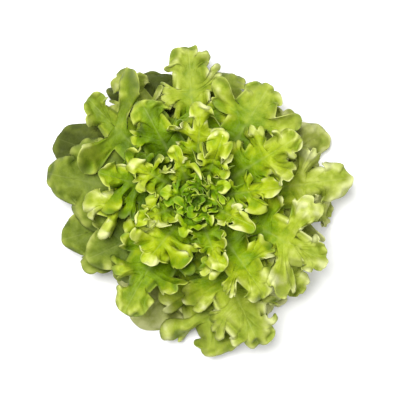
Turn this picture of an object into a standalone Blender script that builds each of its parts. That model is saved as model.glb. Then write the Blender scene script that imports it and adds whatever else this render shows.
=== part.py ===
"""A head of green oak-leaf lettuce standing on its cut stem. Metres, +Z up.

The origin is the centre of the stem's flat cut face. The leaves grow round the stem in a
spiral, lowest and widest first. Each leaf is an arched, lobed blade on a fleshy midrib. The
young leaves at the growing tip are one crinkled heart.
"""

import math
import random
from types import SimpleNamespace

import bmesh
import bpy
import numpy as np
from mathutils.bvhtree import BVHTree

MM = 0.001

# The head as a whole: the leaves' tips stand on a dome, and the lowest lie by the floor.
DOME_HEIGHT = 108 * MM
DOME_RADIUS = 152 * MM
LOWEST_TIP = 6 * MM

# Where a leaf would dip below the floor, it lies on it instead.
REST_HEIGHT = 0.7 * MM
REST_EASE = 3 * MM

# The cut stem: (height, radius) from the cut face to the growing tip.
STEM_PROFILE = [
    (0 * MM, 12.5 * MM),
    (1.2 * MM, 13.6 * MM),
    (8 * MM, 14.2 * MM),
    (20 * MM, 12.6 * MM),
    (36 * MM, 9.6 * MM),
    (50 * MM, 7.2 * MM),
    (55 * MM, 5.6 * MM),
    (56.4 * MM, 3 * MM),
]
STEM_SIDES = 28

# The spiral of leaves up the stem.
ROOT_START = 6.5 * MM
ROOT_STEP = 1.38 * MM
ROOT_GAP = 0.5 * MM
GOLDEN_TURN = 137.508

# The large leaves whose places show from above: (direction in degrees, reach in mm).
OUTER_LEAVES = [
    (109, 123), (250, 121), (27, 123), (152, 127), (311, 118), (71, 115), (197, 118),
    (357, 119), (121, 127), (277, 138), (42, 108), (172, 127), (321, 121), (92, 129),
    (213, 101), (9, 126), (141, 125), (292, 131), (55, 116), (180, 92), (338, 119),
    (120, 87), (232, 104), (32, 98), (165, 82), (307, 96), (88, 78), (232, 66),
]
SMOOTH_LEAVES = (0, 1, 3, 6, 11, 14)
INNER_LEAVES = 7
INNER_REACH = (64, 42)
LARGE_LEAVES = len(OUTER_LEAVES) + INNER_LEAVES
FULL_RING = 20

# How a leaf stands: half the bend of its midrib in degrees from the lowest leaf to the
# innermost, how far its sides wrap round the head, and its half width by its length.
HALF_BEND = (12, 24)
BEND_SPREAD = (-3, 5)
HUG = 1.9
INNER_HUG = 1.5
WIDTH_SHARE = 0.4
INNER_WIDTH_SHARE = 0.27

# The heart: small leaves on a core above the stem.
HEART_LEAVES = 10
HEART_CORE_FOOT = 57 * MM
HEART_CORE_TOP = 78 * MM
HEART_CORE_RADIUS = 4.6 * MM
HEART_REACH = (30 * MM, 7 * MM)
HEART_TIPS = (94 * MM, 90 * MM)
HEART_HALF_BEND = 9
HEART_WIDTH_SHARE = 0.29
HEART_CURL = 0.7

# A leaf's outline: rays from the midrib, square to it at the foot and closing to the tip.
RIB_SHARE = 0.78
RAY_SPREAD = math.radians(82)
RAY_CLOSING = 3.5
BLADE_FROM = 0.04
BLADE_FULL_FROM = 0.4
LOBES_FROM = 0.3
TIP_LOBE_FROM = 0.72
NOTCH_FROM = 0.2
NOTCH_FULL_FROM = 0.35
NOTCH_SHARPNESS = 0.5
NOTCH_WIDTH = 0.25
TIP_BLEND_FROM = 0.6
TIP_STEPS = (0, 0.3, 0.6, 0.84, 1)
SMOOTH_DEPTH = 0.4
FREE_FROM = 0.2
FREE_FULL_FROM = 0.8
PETIOLE_HALF_WIDTH = 5.8 * MM

# Flesh: blade thickness, and what the midrib adds at the foot.
BLADE_THICKNESS = 0.8 * MM
RIB_THICKNESS = 2.8 * MM
RIB_SPREAD = 0.45
YOUNG_FLESH = 0.15

# A leaf is drawn again, each time calmer, narrower and higher, until it clears the rest.
SEED = 182
MOST_DRAWS = 30
CALMER = 0.93
NARROWER = 0.985
RAISED = 0.35 * MM
CLEARANCE = 0.55 * MM


def ramp(value, start, end):
    """0 up to start, 1 from end, and an even S between."""
    share = np.clip((value - start) / (end - start), 0, 1)
    return share * share * (3 - 2 * share)


def mix(low, high, share):
    return low + (high - low) * share


def stem_radius(height):
    heights, radii = zip(*STEM_PROFILE)
    return float(np.interp(height, heights, radii))


def dome_height(radius):
    return DOME_HEIGHT * math.sqrt(1 - (radius / DOME_RADIUS) ** 2)


def set_spine(leaf, foot_radius, foot_height, tip_height, half_bend):
    """The midrib is an arc of a circle that starts steeper than its chord by half_bend."""
    leaf.foot_radius = foot_radius
    leaf.foot_height = foot_height
    out = leaf.reach - foot_radius
    up = tip_height - foot_height
    chord = math.hypot(out, up)
    leaf.length = chord * half_bend / math.sin(half_bend)
    leaf.bend = 2 * half_bend
    leaf.rise = math.atan2(up, out) + half_bend


def shaped(leaf, draw, draw_number, curl=1.0):
    """Draws how this blade's lobes, waves and edges differ from its neighbours'."""
    calm = curl * CALMER ** draw_number
    leaf.half_width *= draw.uniform(0.92, 1.1) * NARROWER ** draw_number
    leaf.lobes = draw.choice([2, 2, 3])
    leaf.depth = draw.uniform(0.5, 0.74)
    leaf.uneven = draw.uniform(0.05, 0.18)
    leaf.phase = draw.uniform(0, 2 * math.pi)
    leaf.lean = draw.uniform(-0.25, 0.25)
    leaf.wave = calm * 0.1 * leaf.length * draw.uniform(0.7, 1.2)
    leaf.roll = calm * draw.uniform(-0.3, 0.3)
    leaf.sway = calm * 0.1 * leaf.length * draw.uniform(-1, 1)
    leaf.vee = calm * draw.uniform(-0.1, 0.7)
    leaf.recurve = leaf.vee + calm * draw.uniform(-0.3, 0.5)
    return leaf


def large_leaf(index, draw_number=0):
    """The leaf of this place in the spiral, 0 the lowest."""
    draw = random.Random(SEED * 100000 + index * 100 + draw_number)
    leaf = SimpleNamespace()
    if index < len(OUTER_LEAVES):
        direction, reach = OUTER_LEAVES[index]
    else:
        inner = index - len(OUTER_LEAVES)
        direction = OUTER_LEAVES[-1][0] + GOLDEN_TURN * (inner + 1)
        reach = mix(*INNER_REACH, inner / INNER_LEAVES)
    leaf.direction = math.radians(direction)
    leaf.reach = reach * MM
    share = index / (LARGE_LEAVES - 1)
    foot_height = ROOT_START + ROOT_STEP * index
    tip_height = mix(LOWEST_TIP, dome_height(leaf.reach), min(1, index / FULL_RING))
    tip_height += RAISED * draw_number
    foot_radius = stem_radius(foot_height) + ROOT_GAP + RIB_THICKNESS * mix(0.2, 0.9, share)
    half_bend = math.radians(mix(*HALF_BEND, share) + draw.uniform(*BEND_SPREAD))
    set_spine(leaf, foot_radius, foot_height, tip_height, half_bend)
    outer = index < len(OUTER_LEAVES)
    leaf.half_width = (WIDTH_SHARE if outer else INNER_WIDTH_SHARE) * leaf.length
    leaf.petiole = mix(PETIOLE_HALF_WIDTH, 0.8 * PETIOLE_HALF_WIDTH, share)
    leaf.columns = 3 if index <= FULL_RING else 2
    leaf.steps = {2: (0, 0.22, 0.5, 0.78), 3: (0, 0.28, 0.72)}
    leaf.flesh = mix(1, 0.55, share)
    leaf.hug = HUG if outer else INNER_HUG
    leaf.clear_from = 0
    shaped(leaf, draw, draw_number)
    leaf.depth *= SMOOTH_DEPTH if index in SMOOTH_LEAVES else 1
    return leaf


def heart_leaf(index, draw_number=0):
    """A young leaf on the core: small, upright and tightly waved."""
    draw = random.Random(SEED * 200000 + index * 100 + draw_number)
    share = index / (HEART_LEAVES - 1)
    leaf = SimpleNamespace()
    turns = INNER_LEAVES + 1 + index
    leaf.direction = math.radians(OUTER_LEAVES[-1][0] + GOLDEN_TURN * turns)
    leaf.reach = mix(*HEART_REACH, share)
    foot_height = mix(HEART_CORE_FOOT + 2 * MM, HEART_CORE_TOP - 4 * MM, share)
    tip_height = mix(*HEART_TIPS, share) + RAISED * draw_number
    foot_radius = mix(0.6, 0.2, share) * HEART_CORE_RADIUS
    set_spine(leaf, foot_radius, foot_height, tip_height, math.radians(HEART_HALF_BEND))
    leaf.half_width = HEART_WIDTH_SHARE * leaf.length
    leaf.petiole = 0.22 * leaf.half_width
    leaf.columns = 2
    leaf.steps = {2: (0, 0.5), 3: (0, 0.5)}
    leaf.flesh = YOUNG_FLESH
    leaf.hug = INNER_HUG
    leaf.clear_from = 0.1
    return shaped(leaf, draw, draw_number, HEART_CURL)


def lobe_phase(leaf, q):
    """Counts the lobes up one side: whole at each notch, a half more at each lobe's end."""
    side = leaf.lobes * (q - LOBES_FROM) / (TIP_LOBE_FROM - LOBES_FROM)
    tip = leaf.lobes + 0.5 * (q - TIP_LOBE_FROM) / (1 - TIP_LOBE_FROM)
    return np.where(q < TIP_LOBE_FROM, side, tip)


def ray_length(leaf, q):
    """How far the blade reaches from the midrib along the ray at q."""
    blade = mix(leaf.petiole, leaf.half_width, ramp(q, BLADE_FROM, BLADE_FULL_FROM))
    tip = (1 - RIB_SHARE) * leaf.length
    whole = mix(blade, tip, ramp(q, TIP_BLEND_FROM, 1))
    phase = lobe_phase(leaf, q)
    open_share = np.clip((np.abs(np.sin(math.pi * phase)) - NOTCH_WIDTH) / (1 - NOTCH_WIDTH), 0, 1)
    notch = 1 - open_share ** NOTCH_SHARPNESS
    lobed = ramp(q, NOTCH_FROM, NOTCH_FULL_FROM)
    uneven = 1 + leaf.uneven * np.sin(4 * phase + leaf.phase) * lobed
    return whole * uneven * (1 - leaf.depth * notch * lobed)


def blade_lift(leaf, q, t, along, across):
    """How far the blade stands off its plain arch: lobes that cup, a roll and a recurve."""
    free = ramp(along / leaf.length, FREE_FROM, FREE_FULL_FROM)
    tip = ramp(q, TIP_LOBE_FROM, 1)
    turn = 2 * math.pi * lobe_phase(leaf, q)
    side = np.cos(turn + leaf.phase * np.sign(t)) * (1 - tip) + np.cos(turn) * tip
    cup = leaf.wave * side * t * t
    bow = leaf.half_width * (leaf.vee * np.abs(t) - leaf.recurve * t * t)
    return free * (cup + bow + leaf.roll * across)


def rested(height):
    """Eases heights near the floor on to it, and leaves the rest as they are."""
    above = height - REST_HEIGHT
    eased = REST_EASE * np.exp(np.minimum(above / REST_EASE - 1, 0))
    return REST_HEIGHT + np.where(above > REST_EASE, above, eased)


def leaf_points(leaf, q, t):
    """Points of the leaf's middle surface. q runs up the leaf, t across it from -1 to 1."""
    leaning = q + leaf.lean * t * q * (1 - q)
    angle = RAY_SPREAD * (1 - leaning ** RAY_CLOSING)
    ray = ray_length(leaf, q) * np.abs(t)
    along = RIB_SHARE * leaf.length * np.sin(leaning * math.pi / 2) + ray * np.cos(angle)
    across = ray * np.sin(angle) * np.sign(t)
    lift = blade_lift(leaf, q, t, along, across)
    across = across + leaf.sway * (along / leaf.length) ** 2
    curve = leaf.bend / leaf.length
    slope = leaf.rise - curve * along
    radius = leaf.foot_radius + (math.sin(leaf.rise) - np.sin(slope)) / curve
    height = leaf.foot_height + (np.cos(slope) - math.cos(leaf.rise)) / curve
    hug = radius * mix(1.0, leaf.hug, ramp(along / leaf.length, 0, 1))
    turn = across / hug
    out = radius - hug * (1 - np.cos(turn)) - lift * np.sin(slope) * np.cos(turn)
    aside = hug * np.sin(turn) - lift * np.sin(slope) * np.sin(turn)
    cos, sin = math.cos(leaf.direction), math.sin(leaf.direction)
    height = rested(height + lift * np.cos(slope))
    return np.stack([out * cos - aside * sin, out * sin + aside * cos, height], axis=1)


def leaf_flesh(leaf, q, t):
    """Thickness of the leaf: thin at the blade, thick along the midrib towards the foot."""
    rib = (1 - q) ** 0.8 * np.exp(-((t / RIB_SPREAD) ** 2) * (1 + 3 * q))
    return BLADE_THICKNESS + leaf.flesh * RIB_THICKNESS * rib


def row_places(leaf):
    """Where the rows of the blade's grid cross the midrib: at each notch and lobe end."""
    rows = [0.0, 0.1, 0.2]
    lobe = (TIP_LOBE_FROM - LOBES_FROM) / leaf.lobes
    for number in range(leaf.lobes):
        rows += [LOBES_FROM + lobe * (number + step) for step in leaf.steps[leaf.lobes]]
    rows += [mix(TIP_LOBE_FROM, 1, share) for share in TIP_STEPS]
    return np.array(rows)


def column_places(leaf):
    return np.linspace(-1, 1, 2 * leaf.columns + 1)


def measured(leaf):
    """Adds the leaf's coarse middle surface, to measure what it clears."""
    rows, columns = row_places(leaf), column_places(leaf)
    rows = rows[rows >= leaf.clear_from]
    q, t = (grid.ravel() for grid in np.meshgrid(rows, columns, indexing="ij"))
    leaf.surface = leaf_points(leaf, q, t)
    leaf.half_flesh = leaf_flesh(leaf, q, t) / 2
    wide = len(columns)
    corners = [row * wide + n for row in range(len(rows) - 1) for n in range(wide - 1)]
    quads = [(n, n + 1, n + wide + 1, n + wide) for n in corners]
    leaf.tree = BVHTree.FromPolygons(leaf.surface.tolist(), quads)
    leaf.low, leaf.high = leaf.surface.min(0), leaf.surface.max(0)
    return leaf


def clears(leaf, other):
    """Whether two leaves stay apart by their flesh and the clearance."""
    near = CLEARANCE + RIB_THICKNESS
    if (leaf.low > other.high + near).any() or (other.low > leaf.high + near).any():
        return True
    if leaf.tree.overlap(other.tree):
        return False
    for one, two in ((leaf, other), (other, leaf)):
        for point, half in zip(one.surface, one.half_flesh):
            if two.tree.find_nearest(point, 2 * half + CLEARANCE)[0] is not None:
                return False
    return True


def settled(make, index, placed):
    """The leaf of this index, drawn again and calmer until it clears those placed."""
    for number in range(MOST_DRAWS):
        leaf = measured(make(index, number))
        if all(clears(leaf, other) for other in placed):
            break
    return leaf


def blade(name, leaf):
    """One leaf as a closed solid: a grid bent to the blade, then given its flesh."""
    rows, columns = row_places(leaf), column_places(leaf)
    bpy.ops.mesh.primitive_grid_add(
        x_subdivisions=len(columns) - 1, y_subdivisions=len(rows) - 1, size=2
    )
    obj = bpy.context.object
    obj.name = obj.data.name = name
    mesh = obj.data
    flat = np.array([vert.co[:2] for vert in mesh.vertices])
    t = columns[np.rint((flat[:, 0] + 1) / 2 * (len(columns) - 1)).astype(int)]
    q = rows[np.rint((flat[:, 1] + 1) / 2 * (len(rows) - 1)).astype(int)]
    mesh.vertices.foreach_set("co", leaf_points(leaf, q, t).ravel())
    thickness = leaf_flesh(leaf, q, t)
    thickest = float(thickness.max())
    group = obj.vertex_groups.new(name="flesh")
    for vert, share in zip(mesh.vertices, thickness / thickest):
        group.add([vert.index], float(share), "REPLACE")
    edit = bmesh.new()
    edit.from_mesh(mesh)
    bmesh.ops.remove_doubles(edit, verts=edit.verts, dist=0.001 * MM)
    bmesh.ops.triangulate(edit, faces=edit.faces, quad_method="SHORT_EDGE")
    edit.to_mesh(mesh)
    edit.free()
    solidify = obj.modifiers.new("flesh", "SOLIDIFY")
    solidify.thickness = thickest
    solidify.offset = 0
    solidify.vertex_group = group.name
    return obj


def material(name, colour, roughness):
    made = bpy.data.materials.new(name)
    made.use_nodes = True
    shader = made.node_tree.nodes["Principled BSDF"]
    shader.inputs["Base Color"].default_value = (*colour, 1)
    shader.inputs["Roughness"].default_value = roughness
    shader.inputs["Metallic"].default_value = 0
    return made


def move_to(obj, collection):
    for holder in list(obj.users_collection):
        holder.objects.unlink(obj)
    collection.objects.link(obj)


def turned(name, profile, sides):
    """A solid of revolution about Z from (height, radius) pairs, top to bottom."""
    mesh = bpy.data.meshes.new(name)
    points = [(0, 0, profile[-1][0])]
    points += [(radius, 0, height) for height, radius in reversed(profile)]
    points += [(0, 0, profile[0][0])]
    mesh.from_pydata(points, [(n, n + 1) for n in range(len(points) - 1)], [])
    obj = bpy.data.objects.new(name, mesh)
    bpy.context.scene.collection.objects.link(obj)
    screw = obj.modifiers.new("turn", "SCREW")
    screw.axis = "Z"
    screw.steps = screw.render_steps = sides
    screw.use_merge_vertices = True
    screw.merge_threshold = 0.01 * MM
    return obj


def heart(scraps, placed):
    """The core and the young leaves on it, joined in one solid."""
    middle = (HEART_CORE_FOOT + HEART_CORE_TOP) / 2
    bpy.ops.mesh.primitive_uv_sphere_add(
        segments=12, ring_count=8, radius=HEART_CORE_RADIUS, location=(0, 0, middle)
    )
    core = bpy.context.object
    core.name = core.data.name = "heart"
    core.scale.z = (HEART_CORE_TOP - HEART_CORE_FOOT) / 2 / HEART_CORE_RADIUS
    bpy.ops.object.transform_apply(location=False, scale=True)
    for index in range(HEART_LEAVES):
        placed.append(settled(heart_leaf, index, placed))
        move_to(blade(f"young_{index}", placed[-1]), scraps)
    union = core.modifiers.new("grown_together", "BOOLEAN")
    union.operation = "UNION"
    union.operand_type = "COLLECTION"
    union.collection = scraps
    union.solver = "EXACT"
    bpy.context.view_layer.objects.active = core
    bpy.ops.object.modifier_apply(modifier=union.name)
    for scrap in list(scraps.objects):
        bpy.data.objects.remove(scrap)
    return core


def main():
    for obj in list(bpy.data.objects):
        bpy.data.objects.remove(obj)
    head = bpy.data.collections.new("lettuce_head")
    scraps = bpy.data.collections.new("young_leaves")
    bpy.context.scene.collection.children.link(head)
    bpy.context.scene.collection.children.link(scraps)
    leaf_green = material("leaf_green", (0.32, 0.5, 0.06), 0.45)
    heart_green = material("heart_green", (0.3, 0.5, 0.08), 0.5)
    stem_pale = material("stem_pale", (0.78, 0.82, 0.6), 0.6)
    stem = turned("stem", STEM_PROFILE, STEM_SIDES)
    stem.data.materials.append(stem_pale)
    move_to(stem, head)
    placed = []
    for index in range(LARGE_LEAVES):
        placed.append(settled(large_leaf, index, placed))
        leaf = blade(f"leaf_{index + 1:02d}", placed[-1])
        leaf.data.materials.append(leaf_green)
        move_to(leaf, head)
    middle = heart(scraps, placed)
    middle.data.materials.append(heart_green)
    move_to(middle, head)
    bpy.data.collections.remove(scraps)


main()
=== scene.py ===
"""A head of green oak-leaf lettuce on its cut stem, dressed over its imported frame."""
import math
import random
from types import SimpleNamespace

import bpy
import numpy as np
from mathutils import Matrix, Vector, noise
from mathutils.bvhtree import BVHTree


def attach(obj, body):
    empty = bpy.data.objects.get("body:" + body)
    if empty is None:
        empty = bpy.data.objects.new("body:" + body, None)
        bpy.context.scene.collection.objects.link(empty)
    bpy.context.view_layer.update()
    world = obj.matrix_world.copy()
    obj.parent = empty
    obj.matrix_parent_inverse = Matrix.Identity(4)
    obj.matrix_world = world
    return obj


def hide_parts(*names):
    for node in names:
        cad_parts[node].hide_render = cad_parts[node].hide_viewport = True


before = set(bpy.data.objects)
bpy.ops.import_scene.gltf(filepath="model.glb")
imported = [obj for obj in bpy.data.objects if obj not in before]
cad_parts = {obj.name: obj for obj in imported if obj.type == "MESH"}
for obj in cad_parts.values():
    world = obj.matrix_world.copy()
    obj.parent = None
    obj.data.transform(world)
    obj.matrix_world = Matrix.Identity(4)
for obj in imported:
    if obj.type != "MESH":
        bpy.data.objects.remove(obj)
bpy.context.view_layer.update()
MM = 0.001

# The stem: a juicy, pale green-white stub, sliced flat where the head was cut from its root.
# The slice has dried to a faint brown ring of milky sap, and the side shows the low ridges
# that run down from each leaf's foot.
STEM_PROFILE = [
    (0 * MM, 12.5 * MM),
    (1.2 * MM, 13.6 * MM),
    (8 * MM, 14.2 * MM),
    (20 * MM, 12.6 * MM),
    (36 * MM, 9.6 * MM),
    (50 * MM, 7.2 * MM),
    (55 * MM, 5.6 * MM),
    (56.4 * MM, 3 * MM),
]
STEM_SEGMENTS = 128
STEM_RINGS = 90
MEAN_RADIUS = 13 * MM
RIDGES = 13
RIDGE_HEIGHT = 0.35 * MM
RIDGE_TWIST = 260
RIDGES_FROM = 4 * MM
ROUGH_ROUND = 3
ROUGH_ALONG = 160
SLICE_HOLLOW = 0.25 * MM
SLICE_UNEVEN = 0.3
FLESH_PALE = (0.72, 0.74, 0.5)
FLESH_GREEN = (0.42, 0.56, 0.18)
GREEN_HEIGHTS = (6 * MM, 40 * MM)
FIBRE_SCALE = 420
FIBRE_BUMP = 0.25 * MM
BLOTCH_SCALE = 90
SAP_BROWN = (0.33, 0.17, 0.06)
SAP_STRENGTH = 0.62
SAP_WOBBLE = 2.2 * MM
SAP_RING = (9 * MM, 12.4 * MM)
SAP_HEIGHTS = (3.2 * MM, 0.3 * MM)


def shader_node(tree, kind, **values):
    """A node of this kind, with its sockets set by name, and settings by their own names."""
    made = tree.nodes.new(kind)
    for name, value in values.items():
        label = name.replace("_", " ")
        if label in made.inputs:
            made.inputs[label].default_value = value
        else:
            setattr(made, name, value)
    return made


def wire(tree, source, target):
    tree.links.new(source, target)


def blank_material(name):
    """A material with its Principled shader and output only."""
    made = bpy.data.materials.new(name)
    made.use_nodes = True
    return made, made.node_tree, made.node_tree.nodes["Principled BSDF"]


def spread(tree, source, low, high, to_low=0, to_high=1):
    """Maps a value from low and high on to to_low and to_high, and holds it at both ends."""
    made = shader_node(tree, "ShaderNodeMapRange")
    ends = {"From Min": low, "From Max": high, "To Min": to_low, "To Max": to_high}
    for name, value in ends.items():
        made.inputs[name].default_value = value
    wire(tree, source, made.inputs["Value"])
    return made.outputs[0]


def maths(tree, operation, *values, clamp=False):
    """The result of one sum, in which each value is a number or another node's output."""
    made = shader_node(tree, "ShaderNodeMath", operation=operation, use_clamp=clamp)
    for socket, value in zip(made.inputs, values):
        if isinstance(value, (int, float)):
            socket.default_value = value
        else:
            wire(tree, value, socket)
    return made.outputs[0]


def blended(tree, first, second, share):
    """Two colours mixed, each a plain tone or another node's output."""
    made = shader_node(tree, "ShaderNodeMix", data_type="RGBA")
    for name, value in (("A", first), ("B", second)):
        if isinstance(value, tuple):
            made.inputs[name].default_value = (*value, 1)
        else:
            wire(tree, value, made.inputs[name])
    wire(tree, share, made.inputs["Factor"])
    return made.outputs["Result"]


def apply_modifier(obj, modifier):
    bpy.ops.object.select_all(action="DESELECT")
    obj.select_set(True)
    bpy.context.view_layer.objects.active = obj
    bpy.ops.object.modifier_apply(modifier=modifier.name)


def mix(low, high, share):
    return low + (high - low) * share


def dress_stem():
    """A sphere's rings, moved on to the stem's profile from the slice up to the tip."""
    bpy.ops.object.select_all(action="DESELECT")
    bpy.ops.mesh.primitive_uv_sphere_add(
        segments=STEM_SEGMENTS, ring_count=STEM_RINGS, radius=1
    )
    stem = bpy.context.object
    stem.name = stem.data.name = "stem_flesh"
    profile = [(0, 0)] + STEM_PROFILE + [(STEM_PROFILE[-1][0], 0)]
    heights, radii = zip(*profile)
    steps = np.hypot(*np.diff(np.array(profile), axis=0).T)
    places = np.concatenate([[0], np.cumsum(steps)]) / steps.sum()
    for vert in stem.data.vertices:
        turn = math.atan2(vert.co.y, vert.co.x)
        cos, sin = math.cos(turn), math.sin(turn)
        share = 0.5 + math.asin(max(-1, min(1, vert.co.z))) / math.pi
        height = float(np.interp(share, places, heights))
        radius = float(np.interp(share, places, radii))
        ridged = math.sin(RIDGES * turn + RIDGE_TWIST * height) * min(1, height / RIDGES_FROM)
        rough = noise.noise(Vector((cos * ROUGH_ROUND, sin * ROUGH_ROUND, height * ROUGH_ALONG)))
        radius *= 1 - RIDGE_HEIGHT * (1 + ridged + rough) / MEAN_RADIUS
        if height <= 0:
            hollow = 1 - (radius / STEM_PROFILE[0][1]) ** 2
            uneven = 1 - SLICE_UNEVEN + SLICE_UNEVEN * rough
            height = SLICE_HOLLOW * max(0, hollow) * uneven
        vert.co = (radius * cos, radius * sin, height)
    bpy.ops.object.shade_smooth()
    return stem


def stem_material():
    """Pale flesh that turns green up the stem, with a ring of dried sap at the slice."""
    made, tree, shader = blank_material("stem_flesh")
    where = shader_node(tree, "ShaderNodeTexCoord").outputs["Object"]
    split = shader_node(tree, "ShaderNodeSeparateXYZ")
    fibre = shader_node(tree, "ShaderNodeTexNoise", Scale=FIBRE_SCALE, Detail=4)
    blotch = shader_node(tree, "ShaderNodeTexNoise", Scale=BLOTCH_SCALE, Detail=3)
    flat = shader_node(tree, "ShaderNodeVectorMath", operation="MULTIPLY")
    flat.inputs[1].default_value = (1, 1, 0)
    for node in (split, fibre, blotch, flat):
        wire(tree, where, node.inputs[0])
    reach = shader_node(tree, "ShaderNodeVectorMath", operation="LENGTH")
    wire(tree, flat.outputs[0], reach.inputs[0])
    height = split.outputs["Z"]
    place = maths(tree, "MULTIPLY_ADD", blotch.outputs["Fac"], SAP_WOBBLE, reach.outputs["Value"])
    ring = spread(tree, place, *SAP_RING)
    dried = maths(tree, "MULTIPLY", ring, spread(tree, height, *SAP_HEIGHTS))
    side = blended(tree, FLESH_PALE, FLESH_GREEN, spread(tree, height, *GREEN_HEIGHTS))
    colour = blended(tree, side, SAP_BROWN, maths(tree, "MULTIPLY", dried, SAP_STRENGTH))
    wire(tree, colour, shader.inputs["Base Color"])
    grain = shader_node(tree, "ShaderNodeBump", Strength=0.5, Distance=FIBRE_BUMP)
    wire(tree, fibre.outputs["Fac"], grain.inputs["Height"])
    wire(tree, grain.outputs[0], shader.inputs["Normal"])
    shader.inputs["Roughness"].default_value = 0.5
    shader.inputs["Subsurface Weight"].default_value = 0.15
    shader.inputs["Subsurface Radius"].default_value = (2 * MM, 2.4 * MM, 1 * MM)
    return made


stem = dress_stem()
stem.data.materials.append(stem_material())
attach(stem, "root")
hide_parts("stem")

# The large leaves: thin, lobed blades with a pale fleshy midrib, growing in a spiral round
# the stem. Each is a flat grid bent to its own arch, wave and curl, then given its
# thickness. Two of the lowest are old and dark, and the others a bright yellow green.
DOME_HEIGHT = 108 * MM
DOME_RADIUS = 152 * MM
LOWEST_TIP = 6 * MM
REST_HEIGHT = 0.7 * MM
REST_EASE = 3 * MM
ROOT_START = 6.5 * MM
ROOT_STEP = 1.38 * MM
ROOT_GAP = 0.5 * MM
GOLDEN_TURN = 137.508
# Each outer leaf's direction in degrees and its reach in millimetres, from the lowest up.
OUTER_LEAVES = [
    (109, 123), (250, 121), (27, 123), (152, 127), (311, 118), (71, 115), (197, 118),
    (357, 119), (121, 127), (277, 138), (42, 108), (172, 127), (321, 121), (92, 129),
    (213, 101), (9, 126), (141, 125), (292, 131), (55, 116), (180, 92), (338, 119),
    (120, 87), (232, 104), (32, 98), (165, 82), (307, 96), (88, 78), (232, 66),
]
SMOOTH_LEAVES = (0, 1, 3, 6, 11, 14)
INNER_LEAVES = 7
INNER_REACH = (64, 42)
LARGE_LEAVES = len(OUTER_LEAVES) + INNER_LEAVES
FULL_RING = 20
HALF_BEND = (12, 24)
BEND_SPREAD = (-3, 5)
HUG = 1.9
INNER_HUG = 1.5
WIDTH_SHARE = 0.4
INNER_WIDTH_SHARE = 0.27
RIB_SHARE = 0.78
RAY_SPREAD = math.radians(82)
RAY_CLOSING = 3.5
BLADE_FROM = 0.04
BLADE_FULL_FROM = 0.4
LOBES_FROM = 0.3
TIP_LOBE_FROM = 0.72
NOTCH_FROM = 0.2
NOTCH_FULL_FROM = 0.35
NOTCH_SHARPNESS = 0.5
NOTCH_WIDTH = 0.25
TIP_BLEND_FROM = 0.6
TIP_STEPS = (0, 0.3, 0.6, 0.84, 1)
SMOOTH_DEPTH = 0.4
FREE_FROM = 0.2
FREE_FULL_FROM = 0.8
PETIOLE_HALF_WIDTH = 5.8 * MM
SOLID_THICKNESS = 0.8 * MM
BLADE_THICKNESS = 0.55 * MM
RIB_THICKNESS = 2.8 * MM
RIB_SPREAD = 0.45
SEED = 182
MOST_DRAWS = 30
CALMER = 0.93
NARROWER = 0.985
RAISED = 0.35 * MM
CLEARANCE = 0.55 * MM

# What the finer leaf adds to its arch: scalloped rims, necked and tossed lobes, ruffles,
# rolled rims, puckers and vein grooves, on a grid of LEAF_ROWS by LEAF_COLUMNS points.
LEAF_ROWS = 128
LEAF_COLUMNS = 44
ROW_EASE = 0.8
MOST_FRILL = 1.1
SCALLOP = (11 * MM, 6.5 * MM)
SCALLOPS = (1.9, 2.6)
SCALLOPS_BY_FRILL = 1.7
SCALLOP_ROUND = 2.2
SCALLOP_MEAN = 0.8
SCALLOP_SWING = 0.35
SCALLOPS_END = 0.93
TIP_ROUND = 0.1
TIP_ROUND_AT = (0.66, 0.8, 0.84, 1)
NECK = 0.5
NECK_AT = 0.36
NECK_SPREAD = 0.24
TIP_NECK = 0.5
BULGE = 0.5
BULGE_AT = (0.6, 0.95)
SPOON = 0.048
SPOON_CHOICES = (1, 1.3, 0.7, 1.1, -0.9)
TOSS = 0.08
TOSS_TURNS = (12.9, 7, 5)
TWIST = 0.05
TWIST_TURNS = (7.7, 9, 3)
WAVES = 7
WAVE_BEND = 0.16
WAVE_BEND_LENGTH = 1.3
RUFFLE_LENGTH = (27 * MM, 14 * MM)
RUFFLE_SHARE = 0.15
RUFFLE_FROM = 0.1
RIM_RUFFLE = (3.4 * MM, 2.7 * MM)
RIM_WAVE = (14 * MM, 8.5 * MM)
RIM_FROM = 0.45
ROLL_FROM = 0.62
ROLL = 0.3
ROLL_SWING = 0.9
ROLL_BEATS = 2.2
ROLL_STARTS = (0.15, 0.35)
LEAST_ROLL = 0.02
HIGHEST = DOME_HEIGHT + 2.5 * MM
TOP_EASE = 7 * MM
PUCKER = 1.15 * MM
PUCKER_ON_VEINS = 0.4
PUCKER_SCALE = 130
FINE_PUCKER = 0.5
FINE_PUCKER_SCALE = 290
GROOVE = 0.3 * MM
BLADE_STARTS = (0.12, 0.4)

# Where its veins run, and how light the leaf is from its foot to its tip, with painted highlights
# on its crests and puckers and painted shade in the depths between the leaves.
RIB_WIDTH = (3.4 * MM, 0.5 * MM)
RIB_NARROWS = 1.25
RIB_NARROWS_BY = 0.7
FORKS = ((0, 0), (0.75, 0.25), (-0.75, 0.25), (0.3, 0.5), (-0.3, 0.5))
FORK_WIDTH = 0.6
FORK_STRENGTH = 0.2
VEIN_WIDTH = (0.95 * MM, 0.3 * MM)
VEIN_STRENGTH = 0.4
VEIN_END = 1.15
VEIN_STARTS = (0.12, 0.3)
TIP_VEIN_WIDTH = 0.5 * MM
TIP_VEIN_STRENGTH = 0.5
TIP_VEIN_END = 1.1
LAID_WIDTH = 200 * MM
FOOT_SHARE = (0.02, 0.42)
RIM_SHARE = (0.8, 1)
PALE_RADII = (55 * MM, 112 * MM)
EVEN_AT = 0.6
TIP_LIGHTER = 0.25
# Painted highlights on the crests of the ruffles and the rims:
RUFFLE_CREST = 0.7
RIM_CREST = 0.8
RIM_CREST_FROM = 0.3
CREST_HIGHLIGHT = 0.22
# Painted light and shade on the puckers, lighter where they rise:
PUCKER_PAINTED_LIGHT = 0.14
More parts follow.
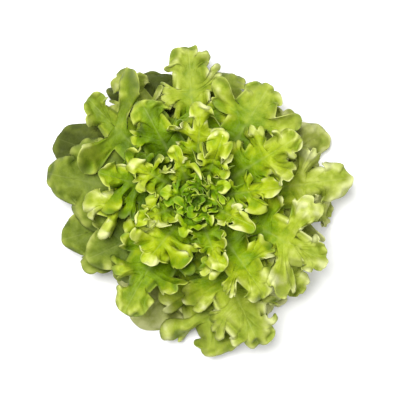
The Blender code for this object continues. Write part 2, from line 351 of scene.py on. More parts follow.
# Painted shade in the depths between the leaves near the middle:
SUNK_PAINTED_SHADE = 0.28
SUNK_DEPTHS = (8 * MM, 40 * MM)
SUNK_RADII = (55 * MM, 100 * MM)
OUTER_DARKER = 0.15
OUTER_RADII = (85 * MM, 120 * MM)


def ramp(value, start, end):
    """0 up to start, 1 from end, and an even S between."""
    share = np.clip((value - start) / (end - start), 0, 1)
    return share * share * (3 - 2 * share)


def stem_radius(height):
    heights, radii = zip(*STEM_PROFILE)
    return float(np.interp(height, heights, radii))


def dome_height(radius):
    return DOME_HEIGHT * math.sqrt(1 - (radius / DOME_RADIUS) ** 2)


def set_spine(leaf, foot_radius, foot_height, tip_height, half_bend):
    """The midrib is an arc of a circle that starts steeper than its chord by half_bend."""
    leaf.foot_radius = foot_radius
    leaf.foot_height = foot_height
    out = leaf.reach - foot_radius
    up = tip_height - foot_height
    chord = math.hypot(out, up)
    leaf.length = chord * half_bend / math.sin(half_bend)
    leaf.bend = 2 * half_bend
    leaf.rise = math.atan2(up, out) + half_bend


def shaped(leaf, draw, draw_number, curl=1.0):
    """Draws how this blade's lobes, waves and edges differ from its neighbours'."""
    calm = curl * CALMER ** draw_number
    leaf.half_width *= draw.uniform(0.92, 1.1) * NARROWER ** draw_number
    leaf.lobes = draw.choice([2, 2, 3])
    leaf.depth = draw.uniform(0.5, 0.74)
    leaf.uneven = draw.uniform(0.05, 0.18)
    leaf.phase = draw.uniform(0, 2 * math.pi)
    leaf.lean = draw.uniform(-0.25, 0.25)
    leaf.wave = calm * 0.1 * leaf.length * draw.uniform(0.7, 1.2)
    leaf.roll = calm * draw.uniform(-0.3, 0.3)
    leaf.sway = calm * 0.1 * leaf.length * draw.uniform(-1, 1)
    leaf.vee = calm * draw.uniform(-0.1, 0.7)
    leaf.recurve = leaf.vee + calm * draw.uniform(-0.3, 0.5)
    return leaf


def large_leaf(index, draw_number=0):
    """The leaf of this place in the spiral, 0 the lowest."""
    draw = random.Random(SEED * 100000 + index * 100 + draw_number)
    leaf = SimpleNamespace(fine=0)
    if index < len(OUTER_LEAVES):
        direction, reach = OUTER_LEAVES[index]
    else:
        inner = index - len(OUTER_LEAVES)
        direction = OUTER_LEAVES[-1][0] + GOLDEN_TURN * (inner + 1)
        reach = mix(*INNER_REACH, inner / INNER_LEAVES)
    leaf.direction = math.radians(direction)
    leaf.reach = reach * MM
    share = index / (LARGE_LEAVES - 1)
    foot_height = ROOT_START + ROOT_STEP * index
    tip_height = mix(LOWEST_TIP, dome_height(leaf.reach), min(1, index / FULL_RING))
    tip_height += RAISED * draw_number
    foot_radius = stem_radius(foot_height) + ROOT_GAP + RIB_THICKNESS * mix(0.2, 0.9, share)
    half_bend = math.radians(mix(*HALF_BEND, share) + draw.uniform(*BEND_SPREAD))
    set_spine(leaf, foot_radius, foot_height, tip_height, half_bend)
    outer = index < len(OUTER_LEAVES)
    leaf.half_width = (WIDTH_SHARE if outer else INNER_WIDTH_SHARE) * leaf.length
    leaf.petiole = mix(PETIOLE_HALF_WIDTH, 0.8 * PETIOLE_HALF_WIDTH, share)
    leaf.columns = 3 if index <= FULL_RING else 2
    leaf.steps = {2: (0, 0.22, 0.5, 0.78), 3: (0, 0.28, 0.72)}
    leaf.flesh = mix(1, 0.55, share)
    leaf.hug = HUG if outer else INNER_HUG
    leaf.clear_from = 0
    shaped(leaf, draw, draw_number)
    leaf.depth *= SMOOTH_DEPTH if index in SMOOTH_LEAVES else 1
    return leaf


def lobe_phase(leaf, q):
    """Counts the lobes up one side: whole at each notch, a half more at each lobe's end."""
    side = leaf.lobes * (q - LOBES_FROM) / (TIP_LOBE_FROM - LOBES_FROM)
    tip = leaf.lobes + 0.5 * (q - TIP_LOBE_FROM) / (1 - TIP_LOBE_FROM)
    return np.where(q < TIP_LOBE_FROM, side, tip)


def notched(leaf, q):
    """The share of the ray at q that the notch between two lobes takes away."""
    sine = np.abs(np.sin(math.pi * lobe_phase(leaf, q)))
    open_share = np.clip((sine - NOTCH_WIDTH) / (1 - NOTCH_WIDTH), 0, 1)
    notch = 1 - open_share ** NOTCH_SHARPNESS
    return leaf.depth * notch * ramp(q, NOTCH_FROM, NOTCH_FULL_FROM)


def ray_length(leaf, q, side):
    """How far the blade reaches from the midrib along the ray at q."""
    blade = mix(leaf.petiole, leaf.half_width, ramp(q, BLADE_FROM, BLADE_FULL_FROM))
    tip = (1 - RIB_SHARE) * leaf.length
    whole = mix(blade, tip, ramp(q, TIP_BLEND_FROM, 1))
    phase = lobe_phase(leaf, q)
    lobed = ramp(q, NOTCH_FROM, NOTCH_FULL_FROM)
    uneven = 1 + leaf.uneven * np.sin(4 * phase + leaf.phase) * lobed
    if leaf.fine:
        beat = leaf.scallops * phase + SCALLOP_SWING * np.sin(5 * phase + leaf.phase)
        beat = beat + leaf.phase * (2 + side)
        wavy = leaf.scallop * lobed * (1 - ramp(q, SCALLOPS_END, 1))
        bump = 1 - (1 - np.abs(np.sin(math.pi * beat))) ** SCALLOP_ROUND
        uneven = uneven * (1 + wavy * (bump - SCALLOP_MEAN))
        rounded = ramp(q, *TIP_ROUND_AT[:2]) * (1 - ramp(q, *TIP_ROUND_AT[2:]))
        whole = whole * (1 - TIP_ROUND * rounded)
    return whole * uneven * (1 - notched(leaf, q))


def blade_lift(leaf, q, t, along, across):
    """How far the blade stands off its plain arch, with what a fine leaf adds to that."""
    free = ramp(along / leaf.length, FREE_FROM, FREE_FULL_FROM)
    tip = ramp(q, TIP_LOBE_FROM, 1)
    turn = 2 * math.pi * lobe_phase(leaf, q)
    cupped = np.cos(turn + leaf.phase * np.sign(t)) * (1 - tip) + np.cos(turn) * tip
    cup = leaf.wave * cupped * t * t
    bow = leaf.half_width * (leaf.vee * np.abs(t) - leaf.recurve * t * t)
    lift = free * (cup + bow + leaf.roll * across)
    if leaf.fine:
        tossed = leaf.length * tossed_lobe(leaf, q, t, turn) * t * t
        ruffled = leaf.ruffle * crinkle(leaf.waves, along, across)
        ruffled = ruffled * ramp(np.abs(t), RUFFLE_FROM, 1)
        frills = leaf.rim_ruffle * crinkle(leaf.rim_waves, along, across)
        ruffled = ruffled + frills * ramp(np.abs(t), RIM_FROM, 1)
        drop = ray_length(leaf, q, np.sign(t)) * rolled_rim(leaf, q, t)[1]
        lift = lift + free * leaf.fine * (tossed + ruffled) - drop
    return lift


def tossed_lobe(leaf, q, t, turn):
    """How far each lobe is tossed up or down, twisted and spooned, as a share of the leaf."""
    side = np.sign(t)
    lobe = np.minimum(np.floor(lobe_phase(leaf, q)), leaf.lobes) + 1
    toss = TOSS * own_swing(leaf, lobe, side, TOSS_TURNS) * (1 - np.cos(turn)) / 2
    twist = TWIST * own_swing(leaf, lobe, side, TWIST_TURNS) * np.sin(turn)
    tip = TWIST * own_swing(leaf, 0, 0, TWIST_TURNS) * np.sin(turn)
    return np.where(q < TIP_LOBE_FROM, toss + twist, tip) - leaf.spoon * np.cos(turn)


def own_swing(leaf, lobe, side, turns):
    """A number from -1 to 1 that is this lobe's own."""
    by_lobe, by_leaf, by_side = turns
    return np.sin(by_lobe * lobe + by_leaf * leaf.phase + by_side * side)


def frilled(leaf, index, share, frill):
    """Gives a settled leaf its ruffles, rolled rims and scallops, all its own."""
    draw = random.Random(SEED * 300000 + index)
    leaf.frill = min(frill, MOST_FRILL)
    leaf.neck = NECK * min(frill, 1)
    leaf.spoon = SPOON * draw.choice(SPOON_CHOICES)
    leaf.scallop = min(frill, 1) * mix(*SCALLOP, share) / leaf.half_width
    leaf.scallops = mix(*SCALLOPS, share) * frill ** SCALLOPS_BY_FRILL
    length = mix(*RUFFLE_LENGTH, share)
    leaf.ruffle = RUFFLE_SHARE * length
    leaf.waves = drawn_waves(draw, length)
    leaf.rim_ruffle = mix(*RIM_RUFFLE, share)
    leaf.rim_waves = drawn_waves(draw, mix(*RIM_WAVE, share))
    return leaf


def drawn_waves(draw, length):
    """Waves of about this length, each with its own heading and start."""
    waves = []
    for _ in range(WAVES):
        size, heading, start = draw.uniform(0.8, 1.6), draw.uniform(0, 1), draw.uniform(0, 1)
        waves.append((size * length, math.pi * heading, 2 * math.pi * start))
    return waves


def crinkle(waves, along, across):
    """An uneven field of soft waves over the blade, about -1 to 1."""
    total = np.zeros_like(along)
    for length, heading, start in waves:
        run = along * math.cos(heading) + across * math.sin(heading)
        aside = across * math.cos(heading) - along * math.sin(heading)
        winding = np.sin(2 * math.pi * aside / (WAVE_BEND_LENGTH * length) + 2 * start)
        bent = run + WAVE_BEND * length * winding
        total = total + np.sin(2 * math.pi * bent / length + start)
    return 2 * total / math.sqrt(len(waves)) / (1 + np.abs(total) / 2)


def rolled_rim(leaf, q, t):
    """How far out along its ray a point of the rolled rim lies, and how far it turns down."""
    tip = ramp(q, TIP_LOBE_FROM, 1)
    side = mix(np.sign(t), 0, tip)
    beat = ROLL_BEATS * lobe_phase(leaf, q) + leaf.phase * (3 + 2 * side)
    angle = leaf.fine * (ROLL + ROLL_SWING * np.sin(beat))
    angle = angle * ramp(q, *ROLL_STARTS) * (1 - notched(leaf, q))
    angle = np.where(np.abs(angle) < LEAST_ROLL, LEAST_ROLL, angle)
    width = 1 - ROLL_FROM
    outer = np.clip((np.abs(t) - ROLL_FROM) / width, 0, 1)
    reach = np.minimum(np.abs(t), ROLL_FROM) + width / angle * np.sin(angle * outer)
    return reach, width / angle * (1 - np.cos(angle * outer))


def rested(height):
    """Eases heights near the floor on to it, and leaves the rest as they are."""
    above = height - REST_HEIGHT
    eased = REST_EASE * np.exp(np.minimum(above / REST_EASE - 1, 0))
    return REST_HEIGHT + np.where(above > REST_EASE, above, eased)


def leaf_plane(leaf, q, t):
    """Where each point of the blade lies on the leaf laid flat: along it and across it."""
    leaning = q + leaf.lean * t * q * (1 - q)
    if leaf.fine:
        leaning = leaning - necked(leaf, q, t)
    angle = RAY_SPREAD * (1 - leaning ** RAY_CLOSING)
    reach = rolled_rim(leaf, q, t)[0] if leaf.fine else np.abs(t)
    ray = ray_length(leaf, q, np.sign(t)) * reach
    along = RIB_SHARE * leaf.length * np.sin(leaning * math.pi / 2) + ray * np.cos(angle)
    return along, ray * np.sin(angle) * np.sign(t)


def necked(leaf, q, t):
    """How far each lobe is drawn in to a neck part way out, so that it ends in a spoon."""
    side = q < TIP_LOBE_FROM
    phase = lobe_phase(leaf, q)
    out = np.abs(t) * (1 - notched(leaf, q))
    neck = leaf.neck * np.exp(-(((out - NECK_AT) / NECK_SPREAD) ** 2))
    neck = neck * np.where(side, 1, TIP_NECK) - BULGE * ramp(out, *BULGE_AT)
    step = np.where(side, (TIP_LOBE_FROM - LOBES_FROM) / leaf.lobes, 2 - 2 * TIP_LOBE_FROM)
    lobed = ramp(q, NOTCH_FROM, NOTCH_FULL_FROM)
    return (phase - np.floor(phase) - 0.5) * neck * step * lobed


def leaf_points(leaf, q, t, raised=0):
    """Points of the leaf's middle surface. q runs up the leaf, t across it from -1 to 1."""
    along, across = leaf_plane(leaf, q, t)
    lift = blade_lift(leaf, q, t, along, across) + raised
    across = across + leaf.sway * (along / leaf.length) ** 2
    curve = leaf.bend / leaf.length
    slope = leaf.rise - curve * along
    radius = leaf.foot_radius + (math.sin(leaf.rise) - np.sin(slope)) / curve
    height = leaf.foot_height + (np.cos(slope) - math.cos(leaf.rise)) / curve
    hug = radius * mix(1.0, leaf.hug, ramp(along / leaf.length, 0, 1))
    turn = across / hug
    out = radius - hug * (1 - np.cos(turn)) - lift * np.sin(slope) * np.cos(turn)
    aside = hug * np.sin(turn) - lift * np.sin(slope) * np.sin(turn)
    cos, sin = math.cos(leaf.direction), math.sin(leaf.direction)
    height = rested(height + lift * np.cos(slope))
    if leaf.fine:
        over = np.maximum(height - HIGHEST + TOP_EASE, 0)
        height = np.where(over > 0, HIGHEST - TOP_EASE * np.exp(-over / TOP_EASE), height)
    return np.stack([out * cos - aside * sin, out * sin + aside * cos, height], axis=1)


def leaf_flesh(leaf, q, t, thin):
    """Thickness of the leaf: thin at the blade, thick along the midrib towards the foot."""
    rib = (1 - q) ** 0.8 * np.exp(-((t / RIB_SPREAD) ** 2) * (1 + 3 * q))
    return thin + leaf.flesh * RIB_THICKNESS * rib


def measured(leaf):
    """Adds the leaf's plain middle surface, to measure what it clears."""
    rows = [0.0, 0.1, 0.2]
    lobe = (TIP_LOBE_FROM - LOBES_FROM) / leaf.lobes
    for number in range(leaf.lobes):
        rows += [LOBES_FROM + lobe * (number + step) for step in leaf.steps[leaf.lobes]]
    rows += [mix(TIP_LOBE_FROM, 1, share) for share in TIP_STEPS]
    rows = np.array([row for row in rows if row >= leaf.clear_from])
    columns = np.linspace(-1, 1, 2 * leaf.columns + 1)
    q, t = (grid.ravel() for grid in np.meshgrid(rows, columns, indexing="ij"))
    leaf.surface = leaf_points(leaf, q, t)
    leaf.half_flesh = leaf_flesh(leaf, q, t, SOLID_THICKNESS) / 2
    wide = len(columns)
    corners = [row * wide + n for row in range(len(rows) - 1) for n in range(wide - 1)]
    quads = [(n, n + 1, n + wide + 1, n + wide) for n in corners]
    leaf.tree = BVHTree.FromPolygons(leaf.surface.tolist(), quads)
    leaf.low, leaf.high = leaf.surface.min(0), leaf.surface.max(0)
    return leaf


def clears(leaf, other):
    """Whether two leaves stay apart by their flesh and the clearance."""
    near = CLEARANCE + RIB_THICKNESS
    if (leaf.low > other.high + near).any() or (other.low > leaf.high + near).any():
        return True
    if leaf.tree.overlap(other.tree):
        return False
    for one, two in ((leaf, other), (other, leaf)):
        for point, half in zip(one.surface, one.half_flesh):
            if two.tree.find_nearest(point, 2 * half + CLEARANCE)[0] is not None:
                return False
    return True


def settled(make, index, placed):
    """The leaf of this index, drawn again and calmer until it clears those placed."""
    for number in range(MOST_DRAWS):
        leaf = measured(make(index, number))
        if all(clears(leaf, other) for other in placed):
            break
    return leaf


def vein_map(leaf, q, t, points, rows):
    """0 to 1 where the midrib, the side ribs and their forks run, by real distance."""
    across = leaf_plane(leaf, q, t)[1]
    grid = points.reshape(rows, -1, 3)
    row_step = np.linalg.norm(np.gradient(grid, axis=0), axis=2).ravel() * (rows - 1)
    row_step = row_step * q ** (1 / ROW_EASE - 1) / ROW_EASE
    narrowed = np.clip(RIB_NARROWS * q, 0, 1) ** RIB_NARROWS_BY
    rib = np.exp(-((across / (mix(*RIB_WIDTH, narrowed) * leaf.girth)) ** 2))
    phase = lobe_phase(leaf, q)
    side_step = row_step * (TIP_LOBE_FROM - LOBES_FROM) / leaf.lobes
    tip_step = row_step * 2 * (1 - TIP_LOBE_FROM)
    per_phase = np.where(q < TIP_LOBE_FROM, side_step, tip_step)
    rim = np.abs(t)
    half = phase - np.floor(phase) - 0.5
    veins = np.zeros_like(q)
    for fork, start in FORKS:
        away = np.abs(half - fork * 0.5 * np.clip(rim - start, 0, 1)) * per_phase
        width = mix(*VEIN_WIDTH, rim) * leaf.girth * (FORK_WIDTH if fork else 1)
        strength = np.clip(VEIN_END - rim, 0, 1) * (rim >= start)
        strength = strength * (FORK_STRENGTH if fork else VEIN_STRENGTH)
        veins = np.maximum(veins, np.exp(-((away / width) ** 2)) * strength)
    tip_vein = TIP_VEIN_STRENGTH * np.exp(-((across / TIP_VEIN_WIDTH) ** 2))
    tip_vein = tip_vein * np.clip(TIP_VEIN_END - rim, 0, 1) * (q > TIP_LOBE_FROM)
    veins = np.maximum(veins, tip_vein) * ramp(q, *VEIN_STARTS)
    return np.clip(np.maximum(rib, veins), 0, 1)


def pucker_map(leaf, along, across):
    """The soft bumps of the blade between its veins, about -1 to 1."""
    return np.array([
        noise.noise(Vector((a * PUCKER_SCALE + leaf.phase * 7, b * PUCKER_SCALE, leaf.phase)))
        + FINE_PUCKER * noise.noise(
            Vector((a * FINE_PUCKER_SCALE, b * FINE_PUCKER_SCALE + leaf.phase * 5, leaf.phase))
        )
        for a, b in zip(along, across)
    ])


def leaf_masks(leaf, q, t, points, veins, pucker):
    """What the material reads at each point: veins, rim, foot, lightness with painted highlights
    and shade, and how far out.
    """
    along, across = leaf_plane(leaf, q, t)
    rim = np.abs(t)
    full = ramp(q, *BLADE_STARTS)
    # Painted highlight along the crests of the ruffles, with the rims lighter and the middle of
    # the blade deeper.
    painted_crest_highlight = RUFFLE_CREST * crinkle(leaf.waves, along, across) * ramp(rim, RUFFLE_FROM, 1)
    painted_crest_highlight = painted_crest_highlight + crinkle(leaf.rim_waves, along, across) * ramp(rim, RIM_FROM, 1)
    painted_crest_highlight = painted_crest_highlight + RIM_CREST * (ramp(rim, RIM_CREST_FROM, 1) - 0.5)
    radius = np.hypot(points[:, 0], points[:, 1])
    dome = np.sqrt(1 - np.minimum(radius / DOME_RADIUS, 0.95) ** 2)
    sunk = ramp(DOME_HEIGHT * dome - points[:, 2], *SUNK_DEPTHS)
    light = leaf.light + TIP_LIGHTER * (along / leaf.length - EVEN_AT)
    # Painted light and shade on the puckers: lighter on their raised tops, darker in their dips.
    light = light + CREST_HIGHLIGHT * full * painted_crest_highlight + PUCKER_PAINTED_LIGHT * leaf.puckers * pucker
    # Painted shade: darker where the leaf lies sunk below the dome near the middle.
    light = light - SUNK_PAINTED_SHADE * sunk * (1 - ramp(radius, *SUNK_RADII))
    light = light - OUTER_DARKER * ramp(radius, *OUTER_RADII)
    return {
        "veins": veins,
        "rim": ramp(rim, *RIM_SHARE) * full,
        "foot": 1 - ramp(along / leaf.length, *FOOT_SHARE),
        "light": light,
        "outer": ramp(radius, *PALE_RADII),
    }


def write_mask(mesh, name, values):
    made = mesh.attributes.new(name, "FLOAT", "POINT")
    made.data.foreach_set("value", values.astype(np.float32))


def thicken(obj, thickness):
    """Gives the sheet its flesh, of its own thickness at each point, and marks its underside."""
    thickest = float(thickness.max())
    group = obj.vertex_groups.new(name="flesh")
    for number, share in enumerate(thickness / thickest):
        group.add([number], float(share), "REPLACE")
    bpy.ops.object.mode_set(mode="EDIT")
    bpy.ops.mesh.select_all(action="SELECT")
    bpy.ops.mesh.remove_doubles(threshold=0.001 * MM)
    bpy.ops.object.mode_set(mode="OBJECT")
    sheet = len(obj.data.vertices)
    solidify = obj.modifiers.new("flesh", "SOLIDIFY")
    solidify.thickness = thickest
    solidify.offset = 0
    solidify.vertex_group = group.name
    apply_modifier(obj, solidify)
    under = np.zeros(len(obj.data.vertices))
    under[:sheet] = 1
    write_mask(obj.data, "under", under)


def bend_leaf(name, leaf, rows, columns):
    """One leaf as a fine closed piece, with its laid-flat map and its masks."""
    bpy.ops.object.select_all(action="DESELECT")
    bpy.ops.mesh.primitive_grid_add(x_subdivisions=columns - 1, y_subdivisions=rows - 1, size=2)
    obj = bpy.context.object
    obj.name = obj.data.name = name
    mesh = obj.data
    flat = np.empty(len(mesh.vertices) * 3)
    mesh.vertices.foreach_get("co", flat)
    flat = flat.reshape(-1, 3)
    t = np.clip(flat[:, 0], -1, 1)
    q = np.clip((flat[:, 1] + 1) / 2, 0, 1) ** ROW_EASE
    leaf.fine = leaf.frill
    along, across = leaf_plane(leaf, q, t)
    veins = vein_map(leaf, q, t, leaf_points(leaf, q, t), rows)
    pucker = pucker_map(leaf, along, across)
    puckered = PUCKER * leaf.puckers * pucker * mix(1, PUCKER_ON_VEINS, veins)
    raised = puckered - GROOVE * veins
    points = leaf_points(leaf, q, t, raised * ramp(q, *BLADE_STARTS))
    mesh.vertices.foreach_set("co", points.ravel())
    corner = np.empty(len(mesh.loops), int)
    mesh.loops.foreach_get("vertex_index", corner)
    laid = np.stack([across / LAID_WIDTH + 0.5, along / LAID_WIDTH + 0.1], axis=1)
    mesh.uv_layers[0].name = "laid_flat"
    mesh.uv_layers[0].data.foreach_set("uv", laid[corner].ravel())
    for mask, values in leaf_masks(leaf, q, t, points, veins, pucker).items():
        write_mask(mesh, mask, values)
    thicken(obj, leaf_flesh(leaf, q, t, BLADE_THICKNESS))
    bpy.ops.object.shade_smooth()
    return obj


# The leaf's finish: a faint net of veins and mottle over tones that its masks choose.
NET_CELL = 2.6
NET_STRENGTH = 0.05
NET_WIDTH = 0.11
NET_BEND = 0.02
NET_BEND_SCALE = 22
PILLOW = 0.6
MOTTLE = 0.09
MOTTLE_ENDS = (0.35, 0.68)
MOTTLE_SCALE = 34
PALER = {"veins": 0.13, "rim": 0.12, "foot": 0.3}
UNDER_PALER = 0.22
GLOSS_SPREAD = 0.16
LEAF_BUMP = 0.5 * MM
TRANSLUCENCY = 0.2


def vein_net_group():
    """The net of fine veins between the ribs, with the soft mottle of living leaf."""
    group = bpy.data.node_groups.new("vein_net", "ShaderNodeTree")
    for name, value in (("Cell Size", NET_CELL), ("Net Strength", NET_STRENGTH)):
        made = group.interface.new_socket(
            name=name, in_out="INPUT", socket_type="NodeSocketFloat"
        )
        made.default_value = value
    for name in ("Net", "Mottle", "Height"):
        group.interface.new_socket(name=name, in_out="OUTPUT", socket_type="NodeSocketFloat")
    inner = shader_node(group, "NodeGroupInput")
    outer = shader_node(group, "NodeGroupOutput")
    laid = shader_node(group, "ShaderNodeUVMap", uv_map="laid_flat")
    bent = shader_node(group, "ShaderNodeTexNoise", Scale=NET_BEND_SCALE, Detail=2)
    wire(group, laid.outputs[0], bent.inputs["Vector"])
    push = shader_node(group, "ShaderNodeVectorMath", operation="MULTIPLY_ADD")
    push.inputs[1].default_value = (NET_BEND, NET_BEND, 0)
    wire(group, bent.outputs["Color"], push.inputs[0])
    wire(group, laid.outputs[0], push.inputs[2])
    cells = shader_node(group, "ShaderNodeTexVoronoi", feature="DISTANCE_TO_EDGE")
    wire(group, push.outputs[0], cells.inputs["Vector"])
    scale = maths(group, "DIVIDE", LAID_WIDTH / MM, inner.outputs["Cell Size"])
    wire(group, scale, cells.inputs["Scale"])
    edge = spread(group, cells.outputs["Distance"], NET_WIDTH, 0)
    net = maths(group, "MULTIPLY", edge, inner.outputs["Net Strength"])
    mottle = shader_node(
        group, "ShaderNodeTexNoise", Scale=MOTTLE_SCALE, Detail=5, Roughness=0.6
    )
    wire(group, laid.outputs[0], mottle.inputs["Vector"])
    mottled = mottle.outputs["Fac"]
    pillow = maths(group, "MULTIPLY_ADD", cells.outputs["Distance"], PILLOW, mottled)
    wire(group, net, outer.inputs["Net"])
    wire(group, mottled, outer.inputs["Mottle"])
    wire(group, pillow, outer.inputs["Height"])
    return group


vein_net = vein_net_group()


def tone_scale(tree, tones, lit):
    """A scale of tones from deep green to cream, read by the leaf's lightness."""
    made = shader_node(tree, "ShaderNodeValToRGB")
    scale = made.color_ramp
    while len(scale.elements) < len(tones):
        scale.elements.new(0.5)
    for stop, (at, tone) in zip(scale.elements, tones):
        stop.position = at
        stop.color = (*tone, 1)
    wire(tree, lit, made.inputs[0])
    return made.outputs["Color"]


def leaf_material(name, tones, outer_tones, gloss):
    """Living leaf: from deep green to cream by its masks, painted highlights and shade among
    them, and duller towards the outside.
    """
    made, tree, shader = blank_material(name)
    masks = {
        mask: shader_node(tree, "ShaderNodeAttribute", attribute_name=mask).outputs["Fac"]
        for mask in ("veins", "rim", "foot", "light", "outer", "under")
    }
    net = shader_node(tree, "ShaderNodeGroup", node_tree=vein_net)
    mottled = spread(tree, net.outputs["Mottle"], *MOTTLE_ENDS, -MOTTLE, MOTTLE)
    lit = maths(tree, "ADD", masks["light"], mottled, clamp=True)
    near, far = tone_scale(tree, tones, lit), tone_scale(tree, outer_tones, lit)
    green = blended(tree, near, far, masks["outer"])
    paler = net.outputs["Net"]
    for mask, strength in PALER.items():
        paler = maths(tree, "MAXIMUM", paler, maths(tree, "MULTIPLY", masks[mask], strength))
    palest = tones[-1][1]
    below = maths(tree, "MULTIPLY_ADD", masks["under"], UNDER_PALER, paler, clamp=True)
    colour = blended(tree, green, palest, below)
    wire(tree, colour, shader.inputs["Base Color"])
    dull = spread(tree, net.outputs["Mottle"], 0, 1, gloss, gloss + GLOSS_SPREAD)
    wire(tree, dull, shader.inputs["Roughness"])
    bump = shader_node(tree, "ShaderNodeBump", Strength=0.35, Distance=LEAF_BUMP)
    wire(tree, net.outputs["Height"], bump.inputs["Height"])
    wire(tree, bump.outputs[0], shader.inputs["Normal"])
    shader.inputs["Specular IOR Level"].default_value = 0.1
    through = shader_node(tree, "ShaderNodeBsdfTranslucent")
    wire(tree, colour, through.inputs["Color"])
    wire(tree, bump.outputs[0], through.inputs["Normal"])
    both = shader_node(tree, "ShaderNodeMixShader")
    both.inputs[0].default_value = TRANSLUCENCY
    wire(tree, shader.outputs[0], both.inputs[1])
    wire(tree, through.outputs[0], both.inputs[2])
    wire(tree, both.outputs[0], tree.nodes["Material Output"].inputs["Surface"])
    return made


# Each large leaf's own lightness from dark to bright, in the spiral's order, its frill and
# which of the tones it has.
OLD_LEAVES = (0, 3)
PALE_LEAVES = (1, 2, 4, 5, 6, 7, 8, 10, 11, 14)
FRILLY_LEAVES = (4, 7, 10, 12, 13, 15, 17, 20, 23, 25)
FRILLY_FRILL = 1.6
FRILLY_DEPTH = 0.74
FRILLY_RIM = 1.4
PLAIN_DEPTH = 0.87
PLAIN_TRIM = 0.86
SMOOTH_FRILL = 0.4
SMOOTH_PUCKERS = 0.6
SMOOTH_TRIM = {3: 0.8}
INNER_LIGHT = 0.6
LEAF_LIGHT = [
    0.1, 0.85, 0.75, 0.1, 0.8, 0.5, 0.28, 0.75, 0.6, 0.65, 0.65, 0.35, 0.65, 0.65,
    0.27, 0.75, 0.45, 0.7, 0.58, 0.7, 0.7, 0.3, 0.42, 0.65, 0.4, 0.6, 0.7, 0.65,
]
DARK_TONES = [
    (0.0, (0.065, 0.085, 0.012)),
    (0.4, (0.12, 0.15, 0.02)),
    (0.7, (0.19, 0.23, 0.035)),
    (1.0, (0.34, 0.4, 0.12)),
]
PALE_TONES = [
    (0.0, (0.08, 0.125, 0.008)),
    (0.35, (0.19, 0.25, 0.024)),
    (0.65, (0.32, 0.37, 0.062)),
    (0.95, (0.56, 0.585, 0.24)),
]
FULL_TONES = [
    (0.0, (0.064, 0.13, 0)),
    (0.35, (0.16, 0.276, 0)),
    (0.62, (0.34, 0.43, 0.006)),
    (0.8, (0.48, 0.55, 0.08)),
    (1.0, (0.65, 0.68, 0.29)),
]
RIM_TONES = [
    (0.0, (0.075, 0.125, 0.004)),
    (0.35, (0.18, 0.255, 0.014)),
    (0.62, (0.325, 0.395, 0.042)),
    (0.8, (0.44, 0.495, 0.11)),
    (1.0, (0.58, 0.615, 0.26)),
]
old_leaf = leaf_material("old_leaf", DARK_TONES, DARK_TONES, 0.5)
outer_leaf = leaf_material("outer_leaf", PALE_TONES, PALE_TONES, 0.48)
full_leaf = leaf_material("full_leaf", FULL_TONES, RIM_TONES, 0.42)


def dressed_leaf(leaf, index):
    """The large leaf of this place as a fine piece, smooth, plain or frilly."""
    smooth, frilly = index in SMOOTH_LEAVES, index in FRILLY_LEAVES
    frill = SMOOTH_FRILL if smooth else FRILLY_FRILL if frilly else 1
    frilled(leaf, index, index / LARGE_LEAVES, frill)
    if frilly:
        leaf.depth *= FRILLY_DEPTH
        leaf.rim_ruffle *= FRILLY_RIM
    elif not smooth:
        leaf.depth *= PLAIN_DEPTH
    leaf.half_width *= SMOOTH_TRIM.get(index, 1) if smooth else PLAIN_TRIM
    leaf.girth = 1.0
    leaf.puckers = SMOOTH_PUCKERS if smooth else 1
    leaf.light = LEAF_LIGHT[index] if index < len(LEAF_LIGHT) else INNER_LIGHT
    piece = bend_leaf(f"leaf_{index + 1:02d}_blade", leaf, LEAF_ROWS, LEAF_COLUMNS)
    kind = outer_leaf if index in PALE_LEAVES else full_leaf
    piece.data.materials.append(old_leaf if index in OLD_LEAVES else kind)
    return piece


placed = []
for index in range(LARGE_LEAVES):
    leaf = settled(large_leaf, index, placed)
    placed.append(leaf)
    piece = dressed_leaf(leaf, index)
    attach(piece, "root")
    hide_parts(f"leaf_{index + 1:02d}")

# The heart: the youngest leaves at the growing tip, small, upright and tightly crinkled
# round a short core. They are a deeper, cooler green than the leaves that open round them.
HEART_LEAVES = 10
HEART_CORE_FOOT = 57 * MM
HEART_CORE_TOP = 78 * MM
HEART_CORE_RADIUS = 4.6 * MM
HEART_REACH = (30 * MM, 7 * MM)
HEART_TIPS = (94 * MM, 90 * MM)
HEART_HALF_BEND = 9
HEART_WIDTH_SHARE = 0.29
HEART_CURL = 0.7
HEART_FRILL = 0.8
HEART_RUFFLE = 0.7
HEART_SCALLOPS = 0.6
HEART_WIDEN = 1.3
HEART_RIM_WAVE = 1.5
HEART_GIRTH = 0.5
HEART_PUCKERS = 1.3
HEART_LIGHT = (0.62, 0.36)
YOUNG_FLESH = 0.15
HEART_ROWS = 56
HEART_COLUMNS = 32
CORE_SEGMENTS = 32
CORE_RINGS = 20
YOUNG_TONES = [
    (0.0, (0.045, 0.115, 0)),
    (0.35, (0.12, 0.25, 0)),
    (0.65, (0.3, 0.42, 0.002)),
    (1.0, (0.66, 0.7, 0.22)),
]


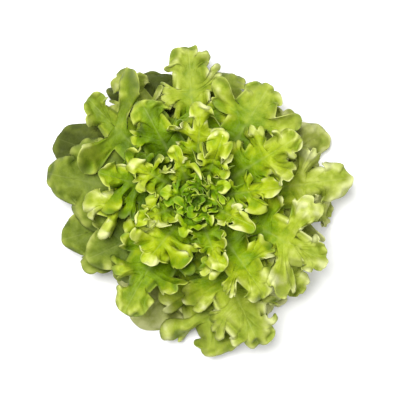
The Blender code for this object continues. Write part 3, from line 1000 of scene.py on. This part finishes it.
def heart_leaf(index, draw_number=0):
    """A young leaf on the core: small, upright and tightly waved."""
    draw = random.Random(SEED * 200000 + index * 100 + draw_number)
    share = index / (HEART_LEAVES - 1)
    leaf = SimpleNamespace(fine=0)
    turns = INNER_LEAVES + 1 + index
    leaf.direction = math.radians(OUTER_LEAVES[-1][0] + GOLDEN_TURN * turns)
    leaf.reach = mix(*HEART_REACH, share)
    foot_height = mix(HEART_CORE_FOOT + 2 * MM, HEART_CORE_TOP - 4 * MM, share)
    tip_height = mix(*HEART_TIPS, share) + RAISED * draw_number
    foot_radius = mix(0.6, 0.2, share) * HEART_CORE_RADIUS
    set_spine(leaf, foot_radius, foot_height, tip_height, math.radians(HEART_HALF_BEND))
    leaf.half_width = HEART_WIDTH_SHARE * leaf.length
    leaf.petiole = 0.22 * leaf.half_width
    leaf.columns = 2
    leaf.steps = {2: (0, 0.5), 3: (0, 0.5)}
    leaf.flesh = YOUNG_FLESH
    leaf.hug = INNER_HUG
    leaf.clear_from = 0.1
    return shaped(leaf, draw, draw_number, HEART_CURL)


young_leaf = leaf_material("young_leaf", YOUNG_TONES, YOUNG_TONES, 0.42)

young = []
for index in range(HEART_LEAVES):
    leaf = settled(heart_leaf, index, placed)
    placed.append(leaf)
    frilled(leaf, LARGE_LEAVES + index, 1, HEART_FRILL)
    leaf.ruffle *= HEART_RUFFLE
    leaf.scallops *= HEART_SCALLOPS
    leaf.half_width *= HEART_WIDEN
    leaf.rim_waves = [
        (HEART_RIM_WAVE * length, heading, start) for length, heading, start in leaf.rim_waves
    ]
    leaf.girth = HEART_GIRTH
    leaf.puckers = HEART_PUCKERS
    leaf.light = mix(*HEART_LIGHT, index / HEART_LEAVES)
    young.append(bend_leaf(f"young_{index:02d}", leaf, HEART_ROWS, HEART_COLUMNS))
bpy.ops.object.select_all(action="DESELECT")
bpy.ops.mesh.primitive_uv_sphere_add(
    segments=CORE_SEGMENTS, ring_count=CORE_RINGS, radius=HEART_CORE_RADIUS,
    location=(0, 0, (HEART_CORE_FOOT + HEART_CORE_TOP) / 2),
)
core = bpy.context.object
core.name = core.data.name = "heart_leaves"
core.scale.z = (HEART_CORE_TOP - HEART_CORE_FOOT) / 2 / HEART_CORE_RADIUS
bpy.ops.object.transform_apply(location=True, rotation=True, scale=True)
bpy.ops.object.shade_smooth()
core.data.uv_layers[0].name = "laid_flat"
for piece in young:
    piece.select_set(True)
core.select_set(True)
bpy.context.view_layer.objects.active = core
bpy.ops.object.join()
core.data.materials.append(young_leaf)
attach(core, "root")
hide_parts("heart")

# The table: a plain pale sheet, with wide soft lights over it, and a camera straight above
# the head, as the photograph was taken.
VIEW_HEIGHT = 1.1
VIEW_HALF_WIDTH = 0.168
VIEW_LEVEL = 0.03
VIEW_SIDE = 0.0033
TABLE_SIZE = 6
TABLE_DROP = 0.3 * MM
TABLE_WHITE = (0.93, 0.93, 0.93, 1)
SKY_STRENGTH = 0.42
LIGHT_AIM = (0, 0, 0.04)

bpy.ops.object.select_all(action="DESELECT")
bpy.ops.mesh.primitive_plane_add(size=TABLE_SIZE, location=(0, 0, -TABLE_DROP))
table = bpy.context.object
table.name = table.data.name = "table"
made, tree, shader = blank_material("table_white")
shader.inputs["Base Color"].default_value = TABLE_WHITE
shader.inputs["Roughness"].default_value = 0.7
table.data.materials.append(made)

sky = bpy.data.worlds.new("studio")
bpy.context.scene.world = sky
sky.use_nodes = True
sky.node_tree.nodes["Background"].inputs["Color"].default_value = (1, 1, 1, 1)
sky.node_tree.nodes["Background"].inputs["Strength"].default_value = SKY_STRENGTH


def soft_light(name, place, size, power):
    """A square light of this size at this place, turned to the head."""
    made = bpy.data.lights.new(name, "AREA")
    made.energy = power
    made.size = size
    lamp = bpy.data.objects.new(name, made)
    lamp.location = place
    aim = Vector(LIGHT_AIM) - Vector(place)
    lamp.rotation_euler = aim.to_track_quat("-Z", "Y").to_euler()
    bpy.context.scene.collection.objects.link(lamp)


soft_light("key", (-0.18, 0.2, 1.2), 0.45, 21)
soft_light("fill", (0.7, -0.3, 1.0), 0.9, 4)

lens = bpy.data.cameras.new("camera")
lens.angle = 2 * math.atan(VIEW_HALF_WIDTH / (VIEW_HEIGHT - VIEW_LEVEL))
camera = bpy.data.objects.new("camera", lens)
camera.location = (VIEW_SIDE, 0, VIEW_HEIGHT)
bpy.context.scene.collection.objects.link(camera)
bpy.context.scene.camera = camera
bpy.context.scene.view_settings.view_transform = "Standard"
